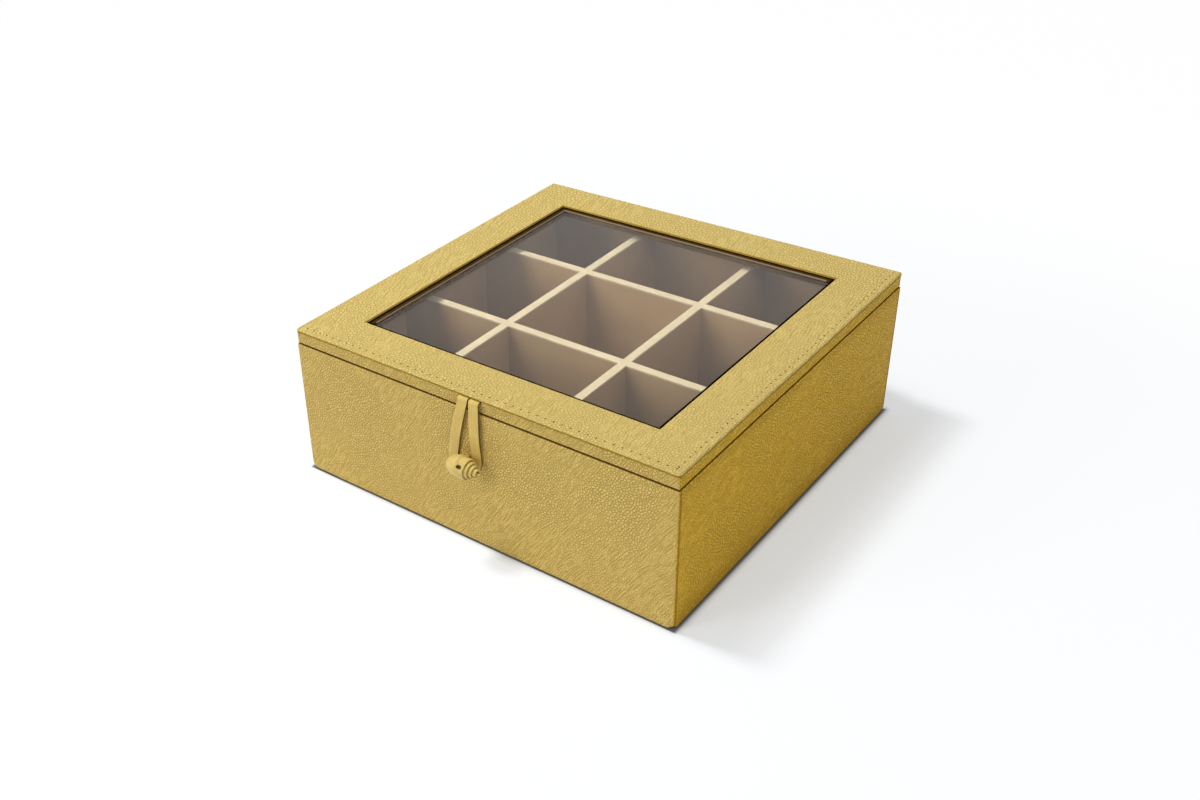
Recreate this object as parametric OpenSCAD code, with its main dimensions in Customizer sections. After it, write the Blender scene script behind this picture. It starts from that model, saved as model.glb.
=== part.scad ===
// Tea bag organizer box: nine lined compartments under a hinged lid with a window.
// Wooden boards and rails are covered with leather, and a leather loop over a rolled
// leather toggle keeps the lid shut.
// Frame: +Z up, the front faces -Y, the origin is the middle of the face it stands on.

/* [Overall size] */
// Width of the box, left to right
box_w = 240; // [170:1:320]
// Depth of the box, front to back
box_d = 240; // [170:1:320]
// Height of the box with its lid shut
box_h = 91; // [75:1:120]

/* [Walls] */
// Thickness of the side boards and the bottom board
board_t = 6; // [4:0.5:9]
// Thickness of the leather that covers the box
leather_t = 1.2; // [0.8:0.1:2]
// Thickness of the suede lining
suede_t = 0.8; // [0.5:0.1:1.2]
// Rounding of the upright edges
corner_r = 1.2; // [0.8:0.1:3]
// Rounding of the rim
rim_r = 0.9; // [0.4:0.1:1.2]
// Rounding of the bottom edge, where the leather turns under
bottom_r = 1.6; // [0.8:0.1:2.4]
// Height of the folded nick at each bottom corner
nick_r = 5; // [2:0.5:7]

/* [Compartments] */
// Compartments from left to right
columns = 3; // [3:1:4]
// Compartments from front to back
rows = 3; // [3:1:4]
// Thickness of a divider over its suede
divider_t = 5; // [3:0.5:7]
// Thickness of the suede on a divider
divider_suede_t = 0.7; // [0.4:0.1:1]
// Height of the pale strip on top of a divider
trim_h = 1; // [0.6:0.1:2]
// Distance from the divider tops to the rim
divider_drop = 1.2; // [0.6:0.1:10]
// Clearance on each side of a half-lap slot
slot_gap = 0.1; // [0.05:0.05:0.3]

/* [Lid] */
// Thickness of the lid over its leather
lid_h = 8.5; // [8:0.1:14]
// Gap between the rim and the lid
seam_gap = 0.5; // [0.1:0.1:1]
// Width of the leather frame round the window
frame_w = 27.5; // [22:0.5:40]
// Thickness of the leather top frame
top_t = 1.5; // [1.5:0.1:2.5]
// Rounding of the top frame's upper edges
top_r = 1.2; // [0.5:0.1:1.4]
// How far the leather band stands back from the top frame
band_inset = 0.4; // [0:0.1:1]
// Gap between the band and the top frame
groove = 0.4; // [0.1:0.1:0.5]
// How far the band turns in under the rails
band_turn = 7; // [3:0.5:10]
// Thickness of the lid's lining and of the band's turned part
lid_lining_t = 0.7; // [0.5:0.1:1]
// Thickness of the glass
glass_t = 3; // [2:0.5:4]
// Width of the rebate that holds the glass
rebate_w = 5.8; // [4:0.2:9]
// Clearance round the glass and its beads
glass_gap = 0.3; // [0.1:0.1:0.6]
// How far the foot of a glass bead stands into the window
bead_nose = 1.2; // [0.4:0.1:2]

/* [Hinges] */
// Distance between the middles of the two hinges
hinge_pitch = 140; // [90:1:150]
// Length of a hinge
hinge_l = 30; // [20:1:40]
// Thickness of a hinge leaf
leaf_t = 1.2; // [0.8:0.1:1.6]
// Depth of a leaf, measured from the back of the box
leaf_d = 6.4; // [5:0.1:7]
// Radius of the knuckles
knuckle_r = 2.4; // [2:0.1:3]
// Radius of the hinge pin
pin_r = 1; // [0.7:0.1:1.2]
// Clearance round the pin
pin_gap = 0.05; // [0.02:0.01:0.08]
// Gap between neighbouring knuckles
knuckle_gap = 0.3; // [0.2:0.1:0.6]
// Angle at which the heel stops the lid
lid_open = 100; // [90:1:110]
// Reach of the heel past the knuckle
heel_reach = 1.5; // [1:0.1:2]
// Radius of the screws' shanks
screw_r = 0.9; // [0.6:0.1:1.1]
// Length of the screws
screw_l = 5; // [4:0.5:6]

/* [Closure] */
// Place of the loop, from the middle of the front
loop_x = 0.8; // [-20:0.2:20]
// Width of the loop's strap
strap_w = 6.3; // [4:0.1:9]
// Thickness of the loop's strap
strap_t = 1.1; // [0.8:0.1:1.6]
// Gap between the loop's two legs at the lid
leg_gap = 0.6; // [0.4:0.1:2]
// How far the loop's foot leans to the left of its top
loop_lean = 4; // [0:0.5:5]
// Width of the loop's opening behind the toggle
loop_open = 9; // [8:0.5:11]
// How far the toggle's middle sits to the right of the loop's top
toggle_shift = 1.4; // [0:0.1:3]
// Height of the toggle's middle
toggle_z = 53; // [35:0.2:60]
// Length of the rolled toggle
toggle_l = 20.6; // [17:0.2:24]
// Radius of the rolled toggle
toggle_r = 6.4; // [6:0.1:8]
// Length of the toggle's domed left end
dome_l = 8; // [6:0.5:9]
// How far the toggle's neck sits to the left of its middle
neck_shift = 4.5; // [3:0.5:5]
// Radius of the punched hole in the front of the roll
punch_r = 1.1; // [0.5:0.1:1.4]
// Thickness of the rolled strip
roll_t = 0.66; // [0.5:0.02:0.7]
// Turns of the rolled strip
roll_turns = 4.5; // [3:0.25:4.5]
// Radius of the toggle's shank
shank_r = 1.5; // [1:0.1:2]
// Clearance round the shank
shank_gap = 0.07; // [0.03:0.01:0.1]

/* [Hidden] */
LEATHER = [0.83, 0.69, 0.38];
SMOOTH = [0.87, 0.76, 0.47];
SUEDE = [0.52, 0.47, 0.4];
CREAM = [0.89, 0.85, 0.72];
BOARD = [0.72, 0.6, 0.44];
WOOD = [0.45, 0.33, 0.2];
GLASS = [0.8, 0.85, 0.86, 0.35];
BRASS = [0.76, 0.62, 0.32];

// Corners of the side pieces, as a turn about Z
FRONT = 0;
RIGHT = 90;
BACK = 180;
LEFT = 270;

// Rounding of the lid band's lower and upper edges
band_low_r = 0.7;
band_high_r = 0.4;

// Heights, from the floor up
rim_z = box_h - lid_h - seam_gap;
lid_z = rim_z + seam_gap;
board_z0 = leather_t;
board_z1 = rim_z - leather_t;
floor_z = board_z0 + board_t + suede_t;
divider_z1 = rim_z - divider_drop;
core_z1 = divider_z1 - trim_h;
lap_z = (floor_z + core_z1) / 2;
rail_z0 = lid_z + lid_lining_t;
top_z0 = box_h - top_t;
glass_z0 = top_z0 - glass_t;

// Half widths and depths, from the outside in
board_x = box_w / 2 - leather_t;
board_y = box_d / 2 - leather_t;
inner_x = board_x - board_t;
inner_y = board_y - board_t;
clear_x = inner_x - suede_t;
clear_y = inner_y - suede_t;
band_x = box_w / 2 - band_inset;
band_y = box_d / 2 - band_inset;
rail_x = band_x - leather_t;
rail_y = band_y - leather_t;
window_x = box_w / 2 - frame_w;
window_y = box_d / 2 - frame_w;
bay_x = window_x + rebate_w;
bay_y = window_y + rebate_w;

// Compartment sizes and divider places
bay_w = (2 * clear_x - (columns - 1) * divider_t) / columns;
bay_d = (2 * clear_y - (rows - 1) * divider_t) / rows;
column_pitch = bay_w + divider_t;
row_pitch = bay_d + divider_t;
column_xs = [for (i = [1 : columns - 1]) -clear_x + i * column_pitch - divider_t / 2];
row_ys = [for (i = [1 : rows - 1]) -clear_y + i * row_pitch - divider_t / 2];

// Hinge places
hinge_xs = [-hinge_pitch / 2, hinge_pitch / 2];
axis_y = box_d / 2 + knuckle_r + knuckle_gap;
axis_z = rim_z + seam_gap / 2;
leaf_y = box_d / 2 - leaf_d;
knuckle_l = (hinge_l - 2 * knuckle_gap) / 3;
mortise_gap = 0.15;
screw_y = box_d / 2 - leather_t - board_t / 2;
screw_x = hinge_l / 2 - 5;
screw_head_r = 1.7 * screw_r;
flange_t = 1;
flange_h = 6;
flange_z0 = axis_z - knuckle_r - flange_h;

// Closure places
front_y = -box_d / 2;
toggle_x = loop_x + toggle_shift;
neck_x = toggle_x - neck_shift;
soft_gap = 0.3;
strap_y = front_y - soft_gap - strap_t / 2;
toggle_y = strap_y - strap_t / 2 - soft_gap - toggle_r;
tail_l = 12;
leg_x = (strap_w + leg_gap) / 2;
neck_past = 1.2;
punch_x = 0.4;
punch_rise = 31;
punch_r0 = 2.6;
tail_z0 = top_z0 - strap_t - groove;
shank_head_r = 3.6;
shank_head_t = 0.9;

// ---- Shared shapes ----

fn_edge = 40;
fn_round = 48;

// A rectangle with round corners, each pair with its own radius
module rounded_profile(w, h, low_r, high_r) {
  translate([-w / 2, low_r]) square([w, h - low_r - high_r]);
  translate([-w / 2 + low_r, 0]) square([w - 2 * low_r, h]);
  translate([-w / 2 + high_r, h / 2]) square([w - 2 * high_r, h / 2]);
  for (s = [-1, 1]) {
    translate([s * (w / 2 - low_r), low_r]) circle(r = low_r, $fn = fn_edge);
    translate([s * (w / 2 - high_r), h - high_r]) circle(r = high_r, $fn = fn_edge);
  }
}

// A flat strip with its two upper edges rounded, by up to its whole height
module edged_profile(w, h, r) {
  translate([-w / 2, 0]) square([w, h - r]);
  translate([-w / 2 + r, 0]) square([w - 2 * r, h]);
  intersection() {
    translate([-w / 2, h - r]) square([w, r]);
    union() for (s = [-1, 1]) translate([s * (w / 2 - r), h - r]) circle(r = r, $fn = fn_edge);
  }
}

// An upright block with round upright edges
module rounded_block(w, d, z0, z1, r) {
  translate([0, -d / 2, z0]) linear_extrude(z1 - z0) rounded_profile(w, d, r, r);
}

// Draws a profile in Y and Z along the whole width
module along_x(length) {
  rotate([90, 0, 90]) linear_extrude(length, center = true) children();
}

// Draws a profile in X and Z along the whole depth
module along_y(length) {
  rotate([90, 0, 0]) linear_extrude(length, center = true) children();
}

// A block rounded on all its edges
module soft_block(w, d, z0, z1, upright_r, low_r, high_r) {
  intersection() {
    rounded_block(w, d, z0, z1, upright_r);
    translate([0, 0, z0]) along_x(w + 2) rounded_profile(d, z1 - z0, low_r, high_r);
    translate([0, 0, z0]) along_y(d + 2) rounded_profile(w, z1 - z0, low_r, high_r);
  }
}

// A plain block about the Z axis
module block(half_x, half_y, z0, z1) {
  translate([-half_x, -half_y, z0]) cube([2 * half_x, 2 * half_y, z1 - z0]);
}

// The wedge of the front side, mitred at its two ends
module front_wedge(w, d, deep) {
  linear_extrude(box_h + 2)
    polygon([
      [-w / 2 - 2, -d / 2 - 2],
      [w / 2 + 2, -d / 2 - 2],
      [w / 2 - deep, -d / 2 + deep],
      [-w / 2 + deep, -d / 2 + deep]
    ]);
}

// The wedge of any side of a ring that measures w by d
module side_wedge(side, w, d, deep = 36) {
  across = side == FRONT || side == BACK;
  translate([0, 0, -1]) rotate([0, 0, side]) front_wedge(across ? w : d, across ? d : w, deep);
}

// Keeps one mitred side of a ring
module side_of_ring(side, w, d) {
  intersection() {
    children();
    side_wedge(side, w, d);
  }
}

// Bounds the bottom corners on one diagonal with a fold of radius r, starting at z0
module corner_bound(turn, reach, z0, r) {
  rotate([0, 0, turn]) translate([0, 0, z0])
    along_y(4 * box_w) rounded_profile(2 * reach, box_h, r, 0.5);
}

// ---- Box: boards, leather and lining ----

diagonal = norm([box_w, box_d]) / 2;
diagonal_turn = atan2(box_d, box_w);

module board_envelope() {
  reach = diagonal - 1.5 * leather_t;
  intersection() {
    block(board_x, board_y, board_z0, board_z1);
    corner_bound(diagonal_turn, reach, board_z0, nick_r - leather_t);
    corner_bound(-diagonal_turn, reach, board_z0, nick_r - leather_t);
  }
}

// Room for the hinge leaves in the rim and for the lid leaves in the lid
module leaf_room(z0, z1) {
  for (x = hinge_xs)
    translate([x - hinge_l / 2 - mortise_gap, leaf_y - mortise_gap, z0])
      cube([hinge_l + 2 * mortise_gap, leaf_d + mortise_gap + 2, z1 - z0]);
}

// Pilot holes for the hinge screws
module pilot_holes(z0, z1) {
  for (x = hinge_xs, s = [-1, 1])
    translate([x + s * screw_x, screw_y, z0])
      cylinder(r = screw_r + pin_gap, h = z1 - z0, $fn = fn_round);
}

module board_front() color(BOARD) difference() {
  intersection() {
    board_envelope();
    translate([-box_w, -box_d, 0]) cube([2 * box_w, box_d - inner_y, box_h]);
  }
  translate([neck_x, 0, toggle_z]) rotate([90, 0, 0])
    cylinder(r = shank_r + shank_gap, h = box_d, $fn = fn_round);
  translate([neck_x, -inner_y + 1, toggle_z]) rotate([90, 0, 0])
    cylinder(r = shank_head_r + shank_gap, h = 1 + shank_head_t, $fn = fn_round);
}

module board_back() color(BOARD) difference() {
  intersection() {
    board_envelope();
    translate([-box_w, inner_y, 0]) cube([2 * box_w, box_d, box_h]);
  }
  leaf_room(rim_z - leaf_t - mortise_gap, rim_z + 1);
  pilot_holes(rim_z - leaf_t - screw_l - 1, rim_z);
}

module side_board(s) {
  translate([s > 0 ? inner_x : -board_x, -inner_y, board_z0])
    cube([board_t, 2 * inner_y, board_z1 - board_z0]);
}

module board_left() color(BOARD) side_board(-1);
module board_right() color(BOARD) side_board(1);

module board_bottom() color(BOARD) block(inner_x, inner_y, board_z0, board_z0 + board_t);

// One side of the box's leather, turned over the rim and under the boards
module leather_panel(side) {
  reach = diagonal - 0.5 * leather_t;
  difference() {
    intersection() {
      soft_block(box_w, box_d, 0, rim_z, corner_r, bottom_r, rim_r);
      side_wedge(side, box_w, box_d);
      corner_bound(diagonal_turn, reach, 0, nick_r);
      corner_bound(-diagonal_turn, reach, 0, nick_r);
    }
    board_envelope();
    block(clear_x, clear_y, board_z0 + 1, rim_z + 1);
    block(inner_x, inner_y, -1, board_z0 + 2);
  }
}

module panel_front() color(LEATHER) difference() {
  leather_panel(FRONT);
  translate([neck_x, 0, toggle_z]) rotate([90, 0, 0])
    cylinder(r = shank_r + shank_gap, h = box_d, $fn = fn_round);
}

module panel_back() color(LEATHER) difference() {
  leather_panel(BACK);
  leaf_room(rim_z - leaf_t - mortise_gap, rim_z + 1);
  pilot_holes(rim_z - 2 * leather_t, rim_z);
}

module panel_left() color(LEATHER) leather_panel(LEFT);
module panel_right() color(LEATHER) leather_panel(RIGHT);

module base_cover() color(SUEDE) block(inner_x - soft_gap, inner_y - soft_gap, 0, leather_t);

module lining_front() color(SUEDE)
  translate([-inner_x, -inner_y, floor_z])
    cube([2 * inner_x, suede_t, board_z1 - floor_z]);

module lining_back() color(SUEDE)
  translate([-inner_x, clear_y, floor_z])
    cube([2 * inner_x, suede_t, board_z1 - floor_z]);

module side_lining(s) {
  translate([s > 0 ? clear_x : -inner_x, -clear_y, floor_z])
    cube([suede_t, 2 * clear_y, board_z1 - floor_z]);
}

module lining_left() color(SUEDE) side_lining(-1);
module lining_right() color(SUEDE) side_lining(1);

module lining_floor() color(SUEDE)
  block(inner_x, inner_y, board_z0 + board_t, floor_z);

// ---- Dividers, half-lapped where they cross ----

// Slots cut from below, for the dividers that run front to back
module low_slots() {
  for (x = column_xs)
    translate([x - divider_t / 2 - slot_gap, -box_d, 0])
      cube([divider_t + 2 * slot_gap, 2 * box_d, lap_z + slot_gap]);
}

// Slots cut from above, for the dividers that run left to right
module high_slots() {
  for (y = row_ys)
    translate([-box_w, y - divider_t / 2 - slot_gap, lap_z])
      cube([2 * box_w, divider_t + 2 * slot_gap, box_h]);
}

// One divider that runs left to right: its board or the suede on its two faces
module cross_divider(y, skin) {
  t = divider_t - 2 * divider_suede_t;
  difference() {
    if (skin) {
      for (s = [0, 1])
        translate([-clear_x, y - divider_t / 2 + s * (divider_t - divider_suede_t), floor_z])
          cube([2 * clear_x, divider_suede_t, core_z1 - floor_z]);
    } else {
      translate([-clear_x, y - t / 2, floor_z]) cube([2 * clear_x, t, core_z1 - floor_z]);
    }
    low_slots();
  }
}

// One divider that runs front to back
module long_divider(x, skin) {
  t = divider_t - 2 * divider_suede_t;
  difference() {
    if (skin) {
      for (s = [0, 1])
        translate([x - divider_t / 2 + s * (divider_t - divider_suede_t), -clear_y, floor_z])
          cube([divider_suede_t, 2 * clear_y, core_z1 - floor_z]);
    } else {
      translate([x - t / 2, -clear_y, floor_z]) cube([t, 2 * clear_y, core_z1 - floor_z]);
    }
    high_slots();
  }
}

// The pale strip on a cross divider runs through
module cross_trim(y) {
  translate([-clear_x, y, core_z1]) rotate([90, 0, 90])
    linear_extrude(2 * clear_x) rounded_profile(divider_t, trim_h, 0.1, 0.35);
}

// The pale strip on a long divider stops at each crossing
module long_trim(x) {
  for (i = [0 : rows - 1])
    translate([x, -clear_y + i * row_pitch + bay_d, core_z1]) rotate([90, 0, 0])
      linear_extrude(bay_d) rounded_profile(divider_t, trim_h, 0.1, 0.35);
}

module divider_front() color(BOARD) cross_divider(row_ys[0], false);
module divider_rear() color(BOARD)
  for (i = [1 : rows - 2]) cross_divider(row_ys[i], false);
module divider_left() color(BOARD) long_divider(column_xs[0], false);
module divider_right() color(BOARD)
  for (i = [1 : columns - 2]) long_divider(column_xs[i], false);
module suede_front() color(SUEDE) cross_divider(row_ys[0], true);
module suede_rear() color(SUEDE)
  for (i = [1 : rows - 2]) cross_divider(row_ys[i], true);
module suede_left() color(SUEDE) long_divider(column_xs[0], true);
module suede_right() color(SUEDE)
  for (i = [1 : columns - 2]) long_divider(column_xs[i], true);
module trim_front() color(CREAM) cross_trim(row_ys[0]);
module trim_rear() color(CREAM) for (i = [1 : rows - 2]) cross_trim(row_ys[i]);
module trim_left() color(CREAM) long_trim(column_xs[0]);
module trim_right() color(CREAM) for (i = [1 : columns - 2]) long_trim(column_xs[i]);

// ---- Lid ----

// Mitred wooden rails under the leather
module rail_ring() {
  difference() {
    block(rail_x, rail_y, rail_z0, top_z0);
    block(bay_x, bay_y, 0, box_h);
  }
}

// Room under the top frame for the loop's two tails
module tail_room(y0, y1) {
  translate([loop_x - leg_x - strap_w / 2 - groove, y0, tail_z0 - groove / 2])
    cube([2 * leg_x + strap_w + 2 * groove, y1 - y0, box_h]);
}

module rail_front() color(WOOD) difference() {
  side_of_ring(FRONT, 2 * rail_x, 2 * rail_y) rail_ring();
  tail_room(-box_d, -rail_y + tail_l + groove);
}

module rail_back() color(WOOD) difference() {
  side_of_ring(BACK, 2 * rail_x, 2 * rail_y) rail_ring();
  leaf_room(lid_z - 1, lid_z + leaf_t + mortise_gap);
  pilot_holes(lid_z, lid_z + leaf_t + screw_l + 0.5);
}

module rail_left() color(WOOD) side_of_ring(LEFT, 2 * rail_x, 2 * rail_y) rail_ring();
module rail_right() color(WOOD) side_of_ring(RIGHT, 2 * rail_x, 2 * rail_y) rail_ring();

// One side of the leather band round the lid, turned in under the rails
module lid_band(side) {
  difference() {
    intersection() {
      soft_block(2 * band_x, 2 * band_y, lid_z, top_z0 - groove, corner_r, band_low_r, band_high_r);
      side_wedge(side, 2 * band_x, 2 * band_y);
    }
    block(rail_x, rail_y, rail_z0, box_h);
    block(rail_x - band_turn, rail_y - band_turn, 0, box_h);
  }
}

module band_front() color(LEATHER) difference() {
  lid_band(FRONT);
  tail_room(-box_d, 0);
}

module band_back() color(LEATHER) difference() {
  lid_band(BACK);
  leaf_room(lid_z - 1, lid_z + leaf_t + mortise_gap);
}

module band_left() color(LEATHER) lid_band(LEFT);
module band_right() color(LEATHER) lid_band(RIGHT);

// One side of the top frame, drawn as a profile and mitred
module top_side(side) {
  across = side == FRONT || side == BACK;
  w = across ? box_w : box_d;
  d = across ? box_d : box_w;
  rotate([0, 0, side]) intersection() {
    translate([0, -d / 2 + frame_w / 2, top_z0])
      along_x(w) edged_profile(frame_w, top_t, top_r);
    translate([0, 0, -1]) front_wedge(w, d, frame_w + 5);
  }
}

module top_frame() color(LEATHER) intersection() {
  union() for (side = [FRONT, RIGHT, BACK, LEFT]) top_side(side);
  rounded_block(box_w, box_d, 0, box_h + 1, 2 * corner_r);
}

module glass_pane() color(GLASS)
  block(bay_x - glass_gap, bay_y - glass_gap, glass_z0, top_z0);

// Moulded section of a glass bead: an ovolo over a foot with a sloped top
module bead_profile() {
  ovolo = 2;
  foot_h = 1.1;
  bead_h = glass_z0 - rail_z0;
  w = rebate_w - glass_gap;
  difference() {
    square([w, bead_h]);
    translate([w - ovolo, foot_h]) square([ovolo + 1, bead_h]);
  }
  intersection() {
    translate([w - ovolo, bead_h - ovolo]) circle(r = ovolo, $fn = fn_edge);
    translate([w - 2 * ovolo, foot_h]) square([2 * ovolo, bead_h - foot_h]);
  }
  polygon([[w - ovolo, 0], [w + bead_nose, 0], [w + bead_nose, foot_h - 0.4], [w - ovolo, foot_h + 0.3]]);
}

module bead(side) {
  across = side == FRONT || side == BACK;
  w = 2 * (across ? bay_x : bay_y) - 2 * glass_gap;
  d = 2 * (across ? bay_y : bay_x) - 2 * glass_gap;
  rotate([0, 0, side]) intersection() {
    translate([0, -d / 2, rail_z0]) along_x(w) bead_profile();
    translate([0, 0, -1]) front_wedge(w, d, rebate_w + 6);
  }
}

module bead_front() color(WOOD) bead(FRONT);
module bead_back() color(WOOD) bead(BACK);
module bead_left() color(WOOD) bead(LEFT);
module bead_right() color(WOOD) bead(RIGHT);

module lid_lining() color(SUEDE) difference() {
  block(rail_x - band_turn, rail_y - band_turn, lid_z, rail_z0);
  block(window_x, window_y, 0, box_h);
}

// ---- Hinges: two small stop hinges at the back ----

module knuckle(x0, x1) {
  translate([x0, axis_y, axis_z]) rotate([0, 90, 0])
    cylinder(r = knuckle_r, h = x1 - x0, $fn = fn_round);
}

module pin_bore(x) {
  translate([x - hinge_l, axis_y, axis_z]) rotate([0, 90, 0])
    cylinder(r = pin_r + pin_gap, h = 2 * hinge_l, $fn = fn_round);
}

// Countersunk screw seats, opening upwards at z
module screw_seats(x, z, up) {
  for (s = [-1, 1])
    translate([x + s * screw_x, screw_y, z]) mirror([0, 0, up ? 0 : 1])
      screw_shape(pin_gap, 1);
}

// A countersunk screw with its head's top at z = 0, pointing down
module screw_shape(gap, over) {
  head_h = leaf_t;
  translate([0, 0, -head_h]) cylinder(r1 = screw_r + gap, r2 = screw_head_r + gap, h = head_h, $fn = fn_round);
  translate([0, 0, -screw_l]) cylinder(r = screw_r + gap, h = screw_l, $fn = fn_round);
  if (over > 0) cylinder(r = screw_head_r + gap, h = over, $fn = fn_round);
}

// Body leaf: a plate in the rim, two outer knuckles and a flange down the back
module body_leaf(x) {
  end = hinge_l / 2;
  difference() {
    union() {
      translate([x - end, leaf_y, rim_z - leaf_t]) cube([hinge_l, leaf_d, leaf_t]);
      for (s = [-1, 1])
        translate([x + s * (end - knuckle_l / 2) - knuckle_l / 2, box_d / 2 - 1, rim_z - leaf_t])
          cube([knuckle_l, axis_y - box_d / 2 + 1, leaf_t]);
      knuckle(x - end, x - end + knuckle_l);
      knuckle(x + end - knuckle_l, x + end);
      for (s = [-1, 1])
        translate([x + s * (end - knuckle_l / 2) - knuckle_l / 2, box_d / 2, flange_z0])
          cube([knuckle_l, flange_t, rim_z - flange_z0]);
      translate([x - end, box_d / 2, flange_z0]) cube([hinge_l, flange_t, flange_h]);
    }
    pin_bore(x);
    screw_seats(x, rim_z, true);
  }
}

// The heel's leading edge meets the flange when the lid stands open; heel_a0 is its
// angle when the lid is shut
heel_r = knuckle_r + heel_reach;
heel_slack = 0.3;
heel_stop = acos((axis_y - box_d / 2 - flange_t) / heel_r);
heel_a0 = heel_stop + lid_open + heel_slack - 180;

// Lid leaf: a plate in the lid, the middle knuckle and the heel that stops the lid
module lid_leaf(x) {
  difference() {
    union() {
      translate([x - hinge_l / 2, leaf_y, lid_z]) cube([hinge_l, leaf_d, leaf_t]);
      translate([x - knuckle_l / 2, box_d / 2 - 1, lid_z])
        cube([knuckle_l, axis_y - box_d / 2 + 1, leaf_t]);
      knuckle(x - knuckle_l / 2, x + knuckle_l / 2);
      translate([x, axis_y, axis_z]) along_x(knuckle_l)
        intersection() {
          circle(r = heel_r, $fn = fn_round);
          polygon([
            [0, 0],
            2 * heel_r * [cos(heel_a0), sin(heel_a0)],
            2 * heel_r * [cos(heel_a0 + 30), sin(heel_a0 + 30)]
          ]);
        }
    }
    pin_bore(x);
    screw_seats(x, lid_z, false);
  }
}

module hinge_leaves_body() color(BRASS) for (x = hinge_xs) body_leaf(x);
module hinge_leaves_lid() color(BRASS) for (x = hinge_xs) lid_leaf(x);

module hinge_pins() color(BRASS) for (x = hinge_xs)
  translate([x - hinge_l / 2 - 0.4, axis_y, axis_z]) rotate([0, 90, 0])
    cylinder(r = pin_r, h = hinge_l + 0.8, $fn = fn_round);

module hinge_screws_body() color(BRASS) for (x = hinge_xs, s = [-1, 1])
  translate([x + s * screw_x, screw_y, rim_z]) screw_shape(0, 0);

module hinge_screws_lid() color(BRASS) for (x = hinge_xs, s = [-1, 1])
  translate([x + s * screw_x, screw_y, lid_z]) mirror([0, 0, 1]) screw_shape(0, 0);

// ---- Closure ----

// The loop's two ends, glued under the top frame
module loop_tails() color(SMOOTH) for (s = [-1, 1])
  translate([loop_x + s * leg_x - strap_w / 2, -rail_y, tail_z0])
    cube([strap_w, tail_l, strap_t]);

// Route of the loop's middle line, with the strap's direction in the plane of the front.
// Each entry is [point, angle]: -90 runs down, 0 runs right, 90 runs up.
bend_r = 1.2;
bend_steps = 5;
leg_steps = 14;
turn_steps = 16;
exit_y = front_y - 0.1;
loop_top = tail_z0 + strap_t / 2;
leg_z1 = loop_top - bend_r;
leg_y1 = exit_y - bend_r;
foot_x = loop_x - loop_lean;
foot_z = toggle_z + 0.6;
turn_x = (loop_open + strap_w) / 2;
turn_h = foot_z - toggle_z + shank_r + 2 * soft_gap + strap_w / 2;
lean_angle = 12;
bulge = 0.6;

function smooth(u) = u * u * (3 - 2 * u);
function clamp01(u) = min(max(u, 0), 1);

// The turn behind the toggle, as half an ellipse from the left leg's foot to the right's
function turn_point(a) = [foot_x - turn_x * cos(a), strap_y, foot_z - turn_h * sin(a)];
function turn_angle(a) = atan2(-turn_h * cos(a), turn_x * sin(a));

// Middle of a leg at share u of its way down; s is -1 for the left leg and 1 for the right
function leg_point(u, s) =
  let (
    foot = s < 0 ? turn_point(-lean_angle) : turn_point(180),
    tuck = smooth(clamp01((u - 0.62) / 0.38))
  ) [
    (loop_x + s * leg_x) * (1 - u) + foot[0] * u,
    (leg_y1 - bulge * sin(180 * u)) * (1 - tuck) + strap_y * tuck,
    leg_z1 * (1 - u) + foot[2] * u
  ];

function leg_angle(s) =
  let (a = leg_point(0, s), b = leg_point(1, s)) atan2(b[2] - a[2], b[0] - a[0]);

function bend_point(t, s) =
  [loop_x + s * leg_x, exit_y - bend_r * sin(t), loop_top - bend_r * (1 - cos(t))];

function leg_route(s) = concat(
  [[[loop_x + s * leg_x, -rail_y, loop_top], -90]],
  [for (i = [0 : bend_steps]) [bend_point(90 * i / bend_steps, s), -90]],
  [
    for (i = [1 : leg_steps])
      let (u = i / leg_steps) [leg_point(u, s), -90 + smooth(u) * (leg_angle(s) + 90)]
  ]
);

turn = [
  for (i = [1 : turn_steps - 1])
    let (a = -lean_angle + (180 + lean_angle) * i / turn_steps) [turn_point(a), turn_angle(a)]
];
up = leg_route(1);
loop_route = concat(
  leg_route(-1), turn, [for (i = [len(up) - 1 : -1 : 0]) [up[i][0], up[i][1] + 180]]
);

function unit(v) = v / norm(v);

// Corners of the strap at ring i: across the route in the plane of the front, and through it
function strap_ring(route, i) =
  let (
    a = route[max(i - 1, 0)][0],
    b = route[min(i + 1, len(route) - 1)][0],
    along = unit(b - a),
    across = [-sin(route[i][1]), 0, cos(route[i][1])],
    through = unit(cross(along, across)),
    p = route[i][0]
  ) [
    for (c = [[-1, -1], [1, -1], [1, 1], [-1, 1]])
      p + across * c[0] * strap_w / 2 + through * c[1] * strap_t / 2
  ];

// A closed skin over rings of equal point counts, whose first half faces the second half
module skin(rings) {
  n = len(rings[0]);
  m = len(rings);
  points = [for (ring = rings) each ring];
  walls = [
    for (i = [0 : m - 2], j = [0 : n - 1])
      let (k = (j + 1) % n, a = i * n + j, b = i * n + k, c = a + n, d = b + n)
      each [[a, d, b], [a, c, d]]
  ];
  end = (m - 1) * n;
  first = [for (j = [0 : n / 2 - 2]) each [[j, j + 1, n - 2 - j], [j, n - 2 - j, n - 1 - j]]];
  last = [for (f = first) [end + f[2], end + f[1], end + f[0]]];
  polyhedron(points, concat(walls, first, last));
}

module closure_loop() color(SMOOTH)
  skin([for (i = [0 : len(loop_route) - 1]) strap_ring(loop_route, i)]);

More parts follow.
